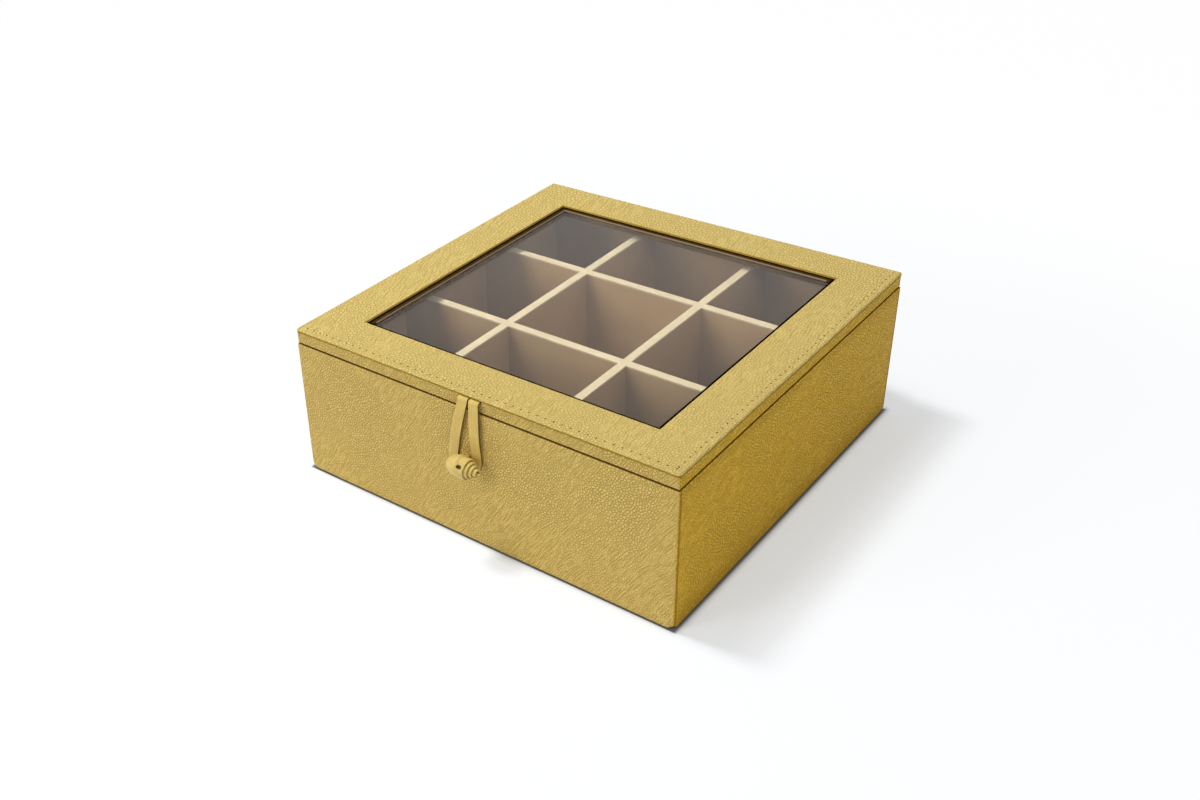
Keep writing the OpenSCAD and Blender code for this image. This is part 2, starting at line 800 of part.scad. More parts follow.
// The rolled toggle: one tapered strip wound from the middle out. Its right edge steps
// back with every turn, so the turns show as a cone. On the left only the last turn runs
// on, curling in to close the end as a dome; the turns under it stop short inside.
roll_fn = 24;
roll_r0 = 0.5 + roll_t / 2;
roll_pitch = (toggle_r - roll_t / 2 - roll_r0) / roll_turns;
roll_steps = round(roll_turns * roll_fn);
roll_bevel = 0.2;
shoulder = 0.58;
mouth_r = 1;
mouth_angle = 75;
dome_steps = 5;
cover_step = roll_steps - roll_fn;
cover_ramp = 0.2;
inside_room = roll_t + 0.6;
least_cut = dome_l - 0.5;

// Distance of the strip's outer face from the axis at step i
function roll_r1(i) = roll_r0 + roll_pitch * i / roll_fn + roll_t / 2;
function share(i) = clamp01((roll_r1(i) - roll_r1(0)) / (toggle_r - roll_r1(0)));
function right_edge(i) = toggle_l * (1 - (1 - shoulder) * pow(share(i), 0.9)) - toggle_l / 2;

// Step of the last turn that lies over step i
function cover_over(i) = i + roll_fn * ceil((cover_step - i) / roll_fn);

// How far in from the left end the strip stops at step i, under the dome
function inside_edge(i) =
  let (
    room = roll_r1(cover_over(i)) - mouth_r - inside_room,
    y = max(roll_r1(i) - mouth_r, 0) / room
  ) y < 0.99 ? min(least_cut, dome_l - (dome_l - inside_room) * sqrt(1 - y * y)) : least_cut;

// Angle round the dome at which the last turn's left edge is cut
function cut_angle(i) =
  let (start = asin(1 - least_cut / dome_l))
  start + (mouth_angle - start) * clamp01((i - cover_step) / roll_fn / cover_ramp);

// Point on the strip at step i, at share k from the dome's root to the left edge,
// as [place along the axis, distance from it], set in by the given depth
function left_point(i, k, depth) =
  i < cover_step
  ? [-toggle_l / 2 + dome_l + (inside_edge(i) - dome_l) * k, roll_r1(i) - depth]
  : let (
      t = cut_angle(i) * k,
      b = roll_r1(i) - mouth_r,
      across = unit([sin(t) * b, cos(t) * dome_l])
    ) [
      -toggle_l / 2 + dome_l - dome_l * sin(t) + across[0] * depth,
      mouth_r + b * cos(t) - across[1] * depth
    ];

// The strip's section at step i, from the right edge over the outer face and back inside
function roll_section(i) =
  let (x1 = right_edge(i), r1 = roll_r1(i)) concat(
    [[x1, r1 - roll_bevel], [x1 - roll_bevel, r1]],
    [for (k = [0 : dome_steps]) left_point(i, k / dome_steps, 0)],
    [for (k = [dome_steps : -1 : 0]) left_point(i, k / dome_steps, roll_t)],
    [[x1 - roll_bevel, r1 - roll_t], [x1, r1 - roll_t]]
  );

function roll_ring(i) =
  let (turn = 360 * i / roll_fn)
  [for (c = roll_section(i)) [c[0], -c[1] * cos(turn), -c[1] * sin(turn)]];

function to_segment(p, a, b) =
  let (d = b - a, t = clamp01((p - a) * d / max(d * d, 1e-9))) norm(p - a - d * t);

// Distance from the outer face at step i to the inner face at step j, at the same angle
function face_gap(i, j) =
  let (
    outer = roll_section(i),
    inner = roll_section(j),
    n = len(outer),
    half = n / 2
  ) min([
    for (m = [0 : half - 1], k = [half : n - 2]) to_segment(outer[m], inner[k], inner[k + 1])
  ]);

// Least gap between turns, measured on the wound points
roll_gap = min([
  for (i = [0 : cover_step]) each [face_gap(i, i + roll_fn), face_gap(i, max(cover_over(i), i + roll_fn))]
]);
echo(least_gap_between_turns_mm = roll_gap);

module toggle_roll() color(SMOOTH) difference() {
  translate([toggle_x, toggle_y, toggle_z])
    skin([for (i = [0 : roll_steps]) roll_ring(i)]);
  translate([neck_x, toggle_y + 2 * toggle_r, toggle_z]) rotate([90, 0, 0])
    cylinder(r = shank_r + shank_gap, h = 2 * toggle_r + neck_past + soft_gap, $fn = fn_round);
  translate([toggle_x + punch_x, toggle_y, toggle_z]) rotate([90 - punch_rise, 0, 0])
    translate([0, 0, punch_r0]) cylinder(r = punch_r, h = toggle_r, $fn = fn_round);
}

// The strip's tail, passed back through the roll and the front, with its end spread inside
module toggle_shank() color(SMOOTH) {
  tip_y = toggle_y - neck_past;
  translate([neck_x, -inner_y, toggle_z]) rotate([90, 0, 0]) {
    cylinder(r = shank_r, h = -inner_y - tip_y, $fn = fn_round);
    cylinder(r = shank_head_r, h = shank_head_t, $fn = fn_round);
  }
}

board_front();
board_back();
board_left();
board_right();
board_bottom();
panel_front();
panel_back();
panel_left();
panel_right();
base_cover();
lining_front();
lining_back();
lining_left();
lining_right();
lining_floor();
divider_front();
divider_rear();
divider_left();
divider_right();
suede_front();
suede_rear();
suede_left();
suede_right();
trim_front();
trim_rear();
trim_left();
trim_right();
rail_front();
rail_back();
rail_left();
rail_right();
band_front();
band_back();
band_left();
band_right();
top_frame();
glass_pane();
bead_front();
bead_back();
bead_left();
bead_right();
lid_lining();
hinge_leaves_body();
hinge_leaves_lid();
hinge_pins();
hinge_screws_body();
hinge_screws_lid();
loop_tails();
closure_loop();
toggle_roll();
toggle_shank();
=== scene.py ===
# %% [markdown]
# # A leather tea box with a glass lid
# The box is a wooden carcass covered in golden pebbled leather. Its lid has a pane
# of glass, and nine suede-lined compartments show through it. A leather loop over a
# rolled leather toggle keeps it shut.
#
# The packed model brings every rigid piece in its exact place, in metres, so this
# script gives those pieces their finishes and models only what is soft, the loop and
# the toggle, and a slim moulding on the glass. The CAD pieces are never moved.

# %% Load the packed frame
import math

import bmesh
import bpy
from mathutils import Matrix, Vector


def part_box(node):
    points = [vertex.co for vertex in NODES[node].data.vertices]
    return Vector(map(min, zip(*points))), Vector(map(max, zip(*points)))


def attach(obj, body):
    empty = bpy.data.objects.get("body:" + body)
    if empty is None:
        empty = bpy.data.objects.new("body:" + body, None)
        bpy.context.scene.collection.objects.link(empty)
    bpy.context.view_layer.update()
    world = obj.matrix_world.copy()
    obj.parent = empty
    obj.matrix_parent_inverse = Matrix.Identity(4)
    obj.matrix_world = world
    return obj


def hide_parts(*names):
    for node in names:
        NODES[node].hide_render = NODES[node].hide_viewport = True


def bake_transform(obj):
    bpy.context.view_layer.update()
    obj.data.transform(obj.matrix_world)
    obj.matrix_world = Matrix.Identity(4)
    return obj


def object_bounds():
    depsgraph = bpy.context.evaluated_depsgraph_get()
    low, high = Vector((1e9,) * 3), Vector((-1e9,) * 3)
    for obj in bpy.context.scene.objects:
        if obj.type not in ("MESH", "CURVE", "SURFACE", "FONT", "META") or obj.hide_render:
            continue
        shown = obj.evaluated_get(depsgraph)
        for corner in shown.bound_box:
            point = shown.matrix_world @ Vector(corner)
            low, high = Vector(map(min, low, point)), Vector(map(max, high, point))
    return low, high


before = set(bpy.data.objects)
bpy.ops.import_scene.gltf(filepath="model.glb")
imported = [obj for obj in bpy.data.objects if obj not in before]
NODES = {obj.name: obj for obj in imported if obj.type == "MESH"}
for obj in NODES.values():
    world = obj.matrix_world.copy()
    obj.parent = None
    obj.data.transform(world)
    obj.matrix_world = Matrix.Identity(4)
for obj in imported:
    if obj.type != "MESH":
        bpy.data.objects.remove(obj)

CAD_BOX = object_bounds()
MM = 0.001
WIDE = CAD_BOX[1][0] / MM
print(len(NODES), "pieces, box", [[round(v / MM, 1) for v in corner] for corner in CAD_BOX])

# %% [markdown]
# ## The camera
# The photograph's straight edges gave the lens and the viewpoint: a 39 mm lens, 32
# degrees above the table, 40 degrees to the right of the front, rolled 3 degrees. The
# box stands left of the lens's axis, because the picture was cropped, so the camera
# has a little shift. The three axes of the camera are worked out from those angles.

# %% Camera
PICTURE_W, PICTURE_H = 1200, 800
FOCAL_PX = 1305.8
AZIMUTH, ELEVATION, ROLL = (math.radians(a) for a in (40.213, 31.583, -3.043))
EYE = Vector((352.92, -535.31, 427.19)) * MM
CENTRE_PX = Vector((470.6, 392.6))


def photo_camera():
    back = Vector((math.sin(AZIMUTH) * math.cos(ELEVATION),
                   -math.cos(AZIMUTH) * math.cos(ELEVATION), math.sin(ELEVATION)))
    level = (-back).cross(Vector((0, 0, 1))).normalized()
    upright = level.cross(-back)
    right = math.cos(ROLL) * level + math.sin(ROLL) * upright
    up = -math.sin(ROLL) * level + math.cos(ROLL) * upright
    data = bpy.data.cameras.new("photo_camera")
    data.sensor_fit, data.sensor_width = "HORIZONTAL", 36.0
    data.lens = FOCAL_PX / PICTURE_W * data.sensor_width
    data.shift_x = (PICTURE_W / 2 - CENTRE_PX.x) / PICTURE_W
    data.shift_y = (CENTRE_PX.y - PICTURE_H / 2) / PICTURE_W
    data.clip_start, data.clip_end = 0.01, 50
    camera = bpy.data.objects.new("photo_camera", data)
    camera.matrix_world = Matrix.Translation(EYE) @ Matrix((right, up, back)).transposed().to_4x4()
    bpy.context.collection.objects.link(camera)
    bpy.context.scene.camera = camera
    print("lens %.1f mm, shift %.3f %.3f" % (data.lens, data.shift_x, data.shift_y))


photo_camera()

# %% [markdown]
# ## Writing a finish as sums
# A finish is a small graph of nodes. Reading one is easier when it is written as
# arithmetic, so `Paint` wraps a socket and turns +, -, * and / into Math nodes.
# Colours and vectors would turn grey in a Math node, so they go through Mix and
# Vector Math, made by the one method `node`.

# %% A socket that takes part in sums
class Paint:
    def __init__(self, finish, socket):
        self.finish, self.socket = finish, socket

    def _math(self, operation, first, second=0.0):
        return self.finish.node("ShaderNodeMath", {"operation": operation}, {0: first, 1: second})

    def __add__(self, other): return self._math("ADD", self, other)
    def __sub__(self, other): return self._math("SUBTRACT", self, other)
    def __mul__(self, other): return self._math("MULTIPLY", self, other)
    def __truediv__(self, other): return self._math("DIVIDE", self, other)
    def __radd__(self, other): return self._math("ADD", other, self)
    def __rsub__(self, other): return self._math("SUBTRACT", other, self)
    def __rmul__(self, other): return self._math("MULTIPLY", other, self)
    def __rtruediv__(self, other): return self._math("DIVIDE", other, self)
    def wave(self): return self._math("SINE", self)
    def size(self): return self._math("ABSOLUTE", self)
    def least(self, other): return self._math("MINIMUM", self, other)
    def most(self, other): return self._math("MAXIMUM", self, other)
    def over(self, other): return self._math("GREATER_THAN", self, other)
    def root(self): return self._math("SQRT", self)
    def left_over(self, other): return self._math("MODULO", self, other)

    def fade(self, low, high, start=0.0, end=1.0):
        """Goes smoothly from start to end as this value goes from low to high."""
        return self.finish.node(
            "ShaderNodeMapRange", {"interpolation_type": "SMOOTHSTEP"},
            {"Value": self, "From Min": low, "From Max": high, "To Min": start, "To Max": end})

    def part(self, letter):
        """One of the X, Y and Z parts of a vector."""
        return self.finish.node("ShaderNodeSeparateXYZ", {}, {0: self}, output=letter)


# %% A finish: one material and its nodes
class Finish:
    def __init__(self, owner):
        """owner is a new material, or the world."""
        self.owner = owner
        owner.use_nodes = True
        self.tree = owner.node_tree
        self.tree.nodes.clear()

    def node(self, kind, settings, inputs, output=0):
        """Adds a node, with its settings first and then the values or links of its sockets."""
        made = self.tree.nodes.new(kind)
        for key, value in settings.items():
            setattr(made, key, value)
        for key, value in inputs.items():
            if isinstance(value, Paint):
                self.tree.links.new(value.socket, made.inputs[key])
            else:
                made.inputs[key].default_value = value
        return Paint(self, made.outputs[output])

    def place(self, turn=(0, 0, 0), factors=(1, 1, 1)):
        """Where a point is on the piece, in millimetres, turned and then stretched."""
        here = self.node("ShaderNodeTexCoord", {}, {}, output="Object")
        if any(turn):
            here = self.node("ShaderNodeMapping", {"vector_type": "POINT"},
                             {"Vector": here, "Rotation": [math.radians(a) for a in turn]})
        return self.stretch(here, [factor / MM for factor in factors])

    def stretch(self, where, factors):
        return self.node("ShaderNodeVectorMath", {"operation": "MULTIPLY"}, {0: where, 1: factors})

    def scaled(self, where, factor):
        return self.node("ShaderNodeVectorMath", {"operation": "SCALE"}, {0: where, "Scale": factor})

    def noise(self, where, scale, detail=2.0, rough=0.5, output=0):
        """Cloudy numbers about 0.5, or a cloudy vector from the output Color."""
        inputs = {"Vector": where, "Scale": scale, "Detail": detail, "Roughness": rough}
        return self.node("ShaderNodeTexNoise", {}, inputs, output)

    def laid_flat(self, where):
        """Shears the depth into the other two directions, for a pattern that has no depth."""
        depth = where.part("Z")
        return self.node("ShaderNodeVectorMath", {"operation": "MULTIPLY_ADD"},
                         {0: depth, 1: (0.7, 0.6, 0), 2: where})

    def cells(self, where, scale):
        """How far a place is from the edge of its cell, in cells."""
        flat_cells = {"feature": "DISTANCE_TO_EDGE", "voronoi_dimensions": "2D"}
        return self.node("ShaderNodeTexVoronoi", flat_cells, {"Vector": where, "Scale": scale})

    def blend(self, factor, first, second):
        """From one colour to another; 6 and 7 are the Mix node's colour sockets."""
        return self.node("ShaderNodeMix", {"data_type": "RGBA"}, {0: factor, 6: first, 7: second}, output=2)

    def mix(self, factor, first, second):
        """From one number to another; 2 and 3 are the Mix node's number sockets."""
        return self.node("ShaderNodeMix", {"data_type": "FLOAT"}, {0: factor, 2: first, 3: second})

    def nudge(self, where, amount, by):
        """Moves a place by a vector field, so that a pattern wanders."""
        push = self.node("ShaderNodeVectorMath", {"operation": "SUBTRACT"}, {0: by, 1: (0.5, 0.5, 0.5)})
        push = self.scaled(push, amount)
        return self.node("ShaderNodeVectorMath", {"operation": "ADD"}, {0: where, 1: push})

    def relief(self, height, depth_mm):
        inputs = {"Height": height, "Distance": depth_mm * MM, "Strength": 1.0}
        return self.node("ShaderNodeBump", {}, inputs)

    def surface(self, shader, output="ShaderNodeOutputMaterial"):
        out = self.tree.nodes.new(output)
        self.tree.links.new(shader.socket, out.inputs["Surface"])
        return self.owner

    def solid(self, colour, roughness, normal=None, **fixed):
        """A Principled surface; an underscore in the name of a fixed value stands for a space."""
        inputs = {"Base Color": colour, "Roughness": roughness}
        inputs.update({key.replace("_", " "): value for key, value in fixed.items()})
        if normal is not None:
            inputs["Normal"] = normal
        return self.surface(self.node("ShaderNodeBsdfPrincipled", {}, inputs))


def new_finish(name):
    return Finish(bpy.data.materials.new(name))


def toned(colour, *factors):
    """A colour times one factor, or times a factor for each of red, green and blue."""
    factors = factors if len(factors) == 3 else factors * 3
    return [channel * factor for channel, factor in zip(colour, factors)] + [1]


print("tools of a finish:", [tool for tool in vars(Finish) if not tool.startswith("_")])

# %% [markdown]
# ## Pebbled leather
# The hide has a natural grain: pebbles between one and two millimetres across, with
# valleys between them. Where the hide was stretched, the pebbles draw out into ripples
# that run up to the right on every face. Voronoi cells give the pebbles. The ripples are
# a wave across that direction, which noise bends and breaks off, and slow noise decides
# which of the two shows. Cells in space would be cut at any height by the surface, and
# come out uneven, so the place is first laid flat: the depth is sheared into the other
# two directions, which leaves the big faces as they are and gives the turned edges a
# grain too. The same height feeds the bump and darkens the valleys, painted shade
# together with dye that gathers there. Each face has its own direction and pebble size.
# The front, back and left share one tone; the top's hide is paler, a painted sheen, and
# the right side's is deeper and more saturated, painted shade.

# %% Grain of the hide
SLOW = 0.03
BEND, UNEVEN = 4.0, 0.45


def hide_grain(finish, turn, pebble, growth):
    """The grain, 0 in the valleys and 1 on the pebbles, and where it lies. Its ripples follow the
    turned X axis, and its pebbles grow towards the back left. Slow noise bends the rows by up to
    half of BEND, and finer noise makes the pebbles uneven, both in millimetres."""
    flat = finish.laid_flat(finish.place(turn))
    if growth:
        here = finish.place()
        flat = finish.scaled(flat, 1 + (here.part("X") - here.part("Y")) * growth)
    flow = finish.nudge(flat, BEND, finish.noise(flat, SLOW, 1, output="Color"))
    loose = finish.nudge(flow, UNEVEN, finish.noise(flat, 0.8, 1, output="Color"))
    pebbles = finish.cells(finish.stretch(loose, (0.8, 1, 1)), 1 / pebble).fade(0.0, 0.26, 0.15, 1.0)
    wander = finish.noise(finish.stretch(flow, (0.12, 0.45, 1)), 0.7, 2) * 2.2
    lines = ((flow.part("Y") / pebble + wander) * math.tau).wave().fade(-0.9, 0.3)
    broken = finish.noise(finish.stretch(flow, (0.22, 0.8, 1)), 0.7, 1).fade(0.36, 0.56)
    ripples = (1 - (1 - lines) * broken).least(pebbles * 0.5 + 0.5)
    drawn = finish.noise(flat, SLOW, 1).fade(0.40, 0.58, 0.1, 0.65)
    return finish.mix(drawn, pebbles, ripples), flat


# %% Edges of the walls: seam, painted shade and painted highlight
SEAM_Z = 82.25
WALL_TOP = SEAM_Z - 0.75
FOOT_SHADE_H, RIM_SHADE_H = 16.0, 7.5


def wall_edges_shade_and_highlight(finish, side):
    """Three masks for a wall's leather. The first is painted shade on the sides, deeper towards
    the foot and under the rim, with a darker band a little in from each vertical corner; it also
    makes the lid's band a little darker on every wall. The second is the dark seam, and on the
    front and back painted shade along the foot. The third is a painted highlight along the
    vertical corners.
    """
    here = finish.place()
    x, y, z = here.part("X").size(), here.part("Y").size(), here.part("Z")
    beside = WIDE - x.least(y)
    wall = z.fade(WALL_TOP - 1.0, WALL_TOP, 1.0, 0.0)
    fold = beside.fade(0.5, 1.0) * beside.fade(1.6, 3.2, 1.0, 0.0) * wall
    # Painted shade: under the rim, and deeper towards the foot.
    painted_rim_shade = z.fade(WALL_TOP - RIM_SHADE_H, WALL_TOP, 0.0, 0.25) * wall
    painted_wall_shade = z.fade(0.0, FOOT_SHADE_H, 1.0, 0.0) * 0.3 + painted_rim_shade
    band = z.fade(SEAM_Z, SEAM_Z + 0.4) * 0.05
    seam = (z - SEAM_Z).size().fade(0.25, 0.6, 1.0, 0.0)
    # Painted shade along the foot.
    foot = z.fade(0.3, 1.0, 1.0, 0.0)
    # Painted highlight on the rounded vertical corners.
    painted_highlight = beside.fade(0.2, 1.3, 1.0, 0.0) * (1 - seam)
    if side:
        return (fold * 0.7).most(painted_wall_shade).most(band), seam * 0.9, painted_highlight * 0.1
    return band, (seam * 0.9).most(foot * 0.5), painted_highlight * 0.5


def front_edges(finish): return wall_edges_shade_and_highlight(finish, False)
def side_edges(finish): return wall_edges_shade_and_highlight(finish, True)


# %% Pebbled leather
SHADE_TINT, SEAM_AND_SHADE_TINT = (0.68, 0.56, 0.12), (0.26, 0.17, 0.05)


def pebbled_leather(name, hide, deep, turn, pebble, marks, gloss, depth=0.5, growth=0.0):
    """hide colours the pebbles and deep the valleys, where it is painted shade as well as dye
    that gathers there; turn is in degrees, pebble is the width of one and depth the depth of
    the grain, in millimetres. The two tints above say how much of deep's red, green and blue
    is left: the first in painted shade along edges, the second in a seam and in the painted
    shade of a hole or along the foot."""
    finish = new_finish(name)
    grain, flat = hide_grain(finish, turn, pebble, growth)
    valley = 1 - grain
    tone = finish.noise(flat, 0.5, 3).fade(0.3, 0.7)
    colour = finish.blend(tone, hide, toned(hide, 1.04))
    # The valleys blend to deep: painted shade, together with dye that gathers there.
    colour = finish.blend(valley, colour, deep)
    crease, dark, painted_highlight = marks(finish)
    # The three masks: painted shade along edges, a painted highlight, and the dark seam with painted shade
    # in holes and along the foot.
    colour = finish.blend(crease, colour, toned(deep, *SHADE_TINT))
    colour = finish.blend(painted_highlight, colour, toned(hide, 1.15))
    colour = finish.blend(dark, colour, toned(deep, *SEAM_AND_SHADE_TINT))
    return finish.solid(colour, finish.mix(valley.most(crease), 0.46, 0.75),
                        finish.relief(grain - dark * 0.8, depth), Specular_IOR_Level=gloss)


# %% [markdown]
# ### Stitch holes
# A row of fine needle holes runs along the front and right edges of the lid's top, 4 mm
# in. They are too small to be worth cutting, so the shade in them is painted as dark dots:
# the place along the edge is wrapped every 4.8 mm, and whatever lies within half a
# millimetre of the middle of a stretch is a hole. A remainder goes wrong below zero, so 200
# whole stretches are added first, and half of one, which puts a hole at the corner. The
# turned edges of the frame, outside and round the window, get painted shade. On the left
# and at the back, a band of painted shade runs beside the window, where the leather looks
# to roll down into it.

# %% Stitch holes
HOLE_PITCH, HOLE_INSET, HOLE_R = 4.8, 4.0, 0.58
FRAME_TOP = CAD_BOX[1][2] / MM
MANY = 200.5 * HOLE_PITCH
OUTER_EDGE = 5.0
BEAD_NOSE, LIP = 1.2, 1.1
WINDOW = -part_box("bead_left")[1][0] / MM + BEAD_NOSE


def top_marks(finish):
    """The same three masks for the top: painted shade on the frame's turned edges and beside the
    window, the stitch holes painted dark for the shade in them, and no highlight.
    """
    here = finish.place()
    x, y = here.part("X"), here.part("Y")
    corner = WIDE - HOLE_INSET

    def row(along, across):
        step = (along + (MANY - corner)).left_over(HOLE_PITCH) - HOLE_PITCH / 2
        away = (step * step + across * across).root()
        return away.fade(HOLE_R * 0.55, HOLE_R, 1.0, 0.0)

    inside = (corner + 0.5 - x).over(0.0) * (y + (corner + 0.5)).over(0.0)
    z = here.part("Z")
    # Painted shade on the frame's turned edges: all down the edge round the window, and outside mostly just
    # under the top.
    turned = z.fade(FRAME_TOP - 0.95, FRAME_TOP - 0.6, 1.0, 0.0)
    outside = x.size().most(y.size()).over(WIDE - OUTER_EDGE)
    below = z.fade(FRAME_TOP - 1.9, FRAME_TOP - 1.5, 0.12, 1.0)
    # The stitch holes, painted dark for the shade in them.
    holes = row(x, y + corner).most(row(y, x - corner)) * inside
    rim = (0.0 - x).most(y)
    # Painted shade beside the window, on the left and at the back only.
    rolled = rim.fade(WINDOW + LIP - 0.3, WINDOW + LIP, 1.0, 0.0) * rim.over(WINDOW - 0.3)
    rolled = rolled * (y + (WINDOW + LIP)).over(0.0) * (WINDOW + LIP - x).over(0.0)
    return (turned * 0.9 * (1 - outside * (1 - below))).most(rolled * 0.9), holes, 0.0


# The top's hide is paler than the front's: a painted sheen.
TOP_LEATHER_PAINTED_SHEEN = pebbled_leather(
    "leather_top_painted_sheen", hide=(0.655, 0.495, 0.168, 1), deep=(0.41, 0.295, 0.072, 1),
    turn=(0, 0, -98), pebble=1.75, marks=top_marks, gloss=0.1, depth=0.32, growth=0.0007)
LEATHER_FRONT = pebbled_leather(
    "leather_front", hide=(0.72, 0.50, 0.141, 1), deep=(0.43, 0.285, 0.046, 1),
    turn=(-90, 0, -56), pebble=1.4, marks=front_edges, gloss=0.2)
# The right side's hide is deeper and more saturated than the front's: painted shade. The left takes the
# front's colours.
RIGHT_LEATHER_PAINTED_SHADE = pebbled_leather(
    "leather_right_painted_shade", hide=(0.795, 0.48, 0.032, 1), deep=(0.39, 0.218, 0.008, 1),
    turn=(-90, -90, -17), pebble=1.5, marks=side_edges, gloss=0.1)
LEATHER_LEFT = pebbled_leather(
    "leather_left", hide=(0.72, 0.50, 0.141, 1), deep=(0.43, 0.285, 0.046, 1),
    turn=(-90, -90, -17), pebble=1.5, marks=side_edges, gloss=0.2)
print("four cuts of leather, window", round(2 * WINDOW, 1), "mm")

# %% [markdown]
# ## Suede, trim, wood, glass and metal
# The lining is a short-napped brown suede: no shine, soft mottling where the nap
# lies one way or the other. The dividers are topped with a smooth cream strip. The
# beads round the glass are dark stained wood. The pane is made to reflect a little less
# than window glass, with an index of 1.3, because the whole studio round it is white and
# would else hide the compartments; lamps shine through it as if it were open.

# %% Suede
def suede(name, colour):
    finish = new_finish(name)
    here = finish.place()
    nap = finish.noise(here, 0.9, 4, 0.6)
    patch = finish.noise(here, 0.05, 2)
    mottle = nap.fade(0.3, 0.7) * 0.25 + patch.fade(0.3, 0.7) * 0.2
    shade = finish.blend(mottle, colour, toned(colour, 0.72))
    return finish.solid(shade, 0.95, finish.relief(nap, 0.06), Specular_IOR_Level=0.05)


SUEDE = suede("suede", (0.34, 0.22, 0.10, 1))


# %% Cream strip on the dividers
def cream_strip():
    finish = new_finish("cream_strip")
    here = finish.place()
    mottle = finish.noise(here, 0.25, 3)
    colour = finish.blend(mottle.fade(0.35, 0.65), (0.42, 0.34, 0.202, 1), (0.39, 0.315, 0.182, 1))
    return finish.solid(colour, 0.55, finish.relief(finish.noise(here, 1.5, 3), 0.03))


CREAM = cream_strip()


# %% Wood
def wood(name, light, dark, roughness, gloss):
    """Noise that is drawn out along X gives the rings, and finer noise the pores."""
    finish = new_finish(name)
    here = finish.place(factors=(0.05, 1.0, 1.0))
    rings = finish.noise(here, 0.35, 4, 0.6)
    pores = finish.noise(here, 2.5, 2)
    colour = finish.blend(rings.fade(0.35, 0.65), light, dark)
    colour = finish.blend(pores.fade(0.55, 0.75) * 0.4, colour, dark)
    return finish.solid(colour, roughness, finish.relief(pores, 0.03), Specular_IOR_Level=gloss)


BOARD = wood("raw_board", light=(0.42, 0.29, 0.15, 1), dark=(0.30, 0.19, 0.09, 1),
             roughness=0.7, gloss=0.3)
STAINED = wood("stained_bead", light=(0.20, 0.13, 0.06, 1), dark=(0.10, 0.06, 0.025, 1),
               roughness=0.5, gloss=0.1)


# %% Glass that lets the lamps through
def clear_glass():
    finish = new_finish("clear_glass")
    smooth = finish.node("ShaderNodeBsdfPrincipled", {}, {
        "Base Color": (0.98, 0.98, 0.98, 1), "Roughness": 0.0, "IOR": 1.3, "Transmission Weight": 1.0})
    open_air = finish.node("ShaderNodeBsdfTransparent", {}, {"Color": (0.95, 0.95, 0.95, 1)})
    lamp = finish.node("ShaderNodeLightPath", {}, {}, output="Is Shadow Ray")
    return finish.surface(finish.node("ShaderNodeMixShader", {}, {0: lamp, 1: smooth, 2: open_air}))


GLASS = clear_glass()


# %% Brass
def brass():
    finish = new_finish("satin_brass")
    here = finish.place(factors=(0.2, 1, 1))
    brushed = finish.noise(here, 3.0, 3)
    return finish.solid(finish.blend(brushed, (0.72, 0.52, 0.22, 1), (0.60, 0.42, 0.16, 1)),
                        brushed.fade(0.3, 0.7, 0.28, 0.42), Metallic=1.0)


BRASS = brass()

# %% [markdown]
# Each CAD piece keeps its own mesh and gets its finish in its material slots.

# %% Dress the CAD pieces
FINISH_OF = {
    "panel_front": LEATHER_FRONT, "panel_back": LEATHER_FRONT, "band_front": LEATHER_FRONT,
    "band_back": LEATHER_FRONT, "panel_left": LEATHER_LEFT, "panel_right": RIGHT_LEATHER_PAINTED_SHADE,
    "band_left": LEATHER_LEFT, "band_right": RIGHT_LEATHER_PAINTED_SHADE, "top_frame": TOP_LEATHER_PAINTED_SHEEN,
    "glass_pane": GLASS, "base_cover": SUEDE, "lid_lining": SUEDE,
}
BY_START = {"lining_": SUEDE, "suede_": SUEDE, "trim_": CREAM, "bead_": STAINED, "rail_": STAINED,
            "board_": BOARD, "divider_": BOARD, "hinge_": BRASS}


def dress(name, node):
    finish = FINISH_OF.get(name)
    for start, other in BY_START.items():
        if finish is None and name.startswith(start):
            finish = other
    if finish is not None:
        node.data.materials.clear()
        node.data.materials.append(finish)
    return finish is not None


plain = [name for name, node in NODES.items() if not dress(name, node)]
print("left for the next steps:", plain)

# %% [markdown]
# ## The moulding on the glass
# Inside the window, a slim dark moulding lies on the pane against the cut edge of the
# leather. In the photograph it shows along the left and the back: a black line of shadow,
# a dark brown strip and a paler inner edge. Along the front and the right it has to be so
# slim that the leather hides it. It starts as a flat square as big as the window. An inset
# leaves a frame whose corners are already mitred, and the inner square is moved to make
# two of its bars wider; the middle is deleted, the frame is raised, and its inner top edge
# is rounded with a bevel. Each new mesh becomes a piece in the same way, so that is a
# function.

# %% From a mesh to a piece
def new_piece(mesh, name):
    data = bpy.data.meshes.new(name)
    mesh.to_mesh(data)
    mesh.free()
    piece = bpy.data.objects.new(name, data)
    bpy.context.collection.objects.link(piece)
    return piece


# %% Finish of the moulding
GLASS_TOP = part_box("glass_pane")[1][2] / MM
WIDE_BAR, SLIM_BAR, MOULDING_H = 4.0, 1.4, 0.8
SIDE_PLAY, GLASS_PLAY, BRIM_ROUND = 0.03, 0.01, 0.5
BLACK_LINE, PALE_EDGE = 1.3, 0.6


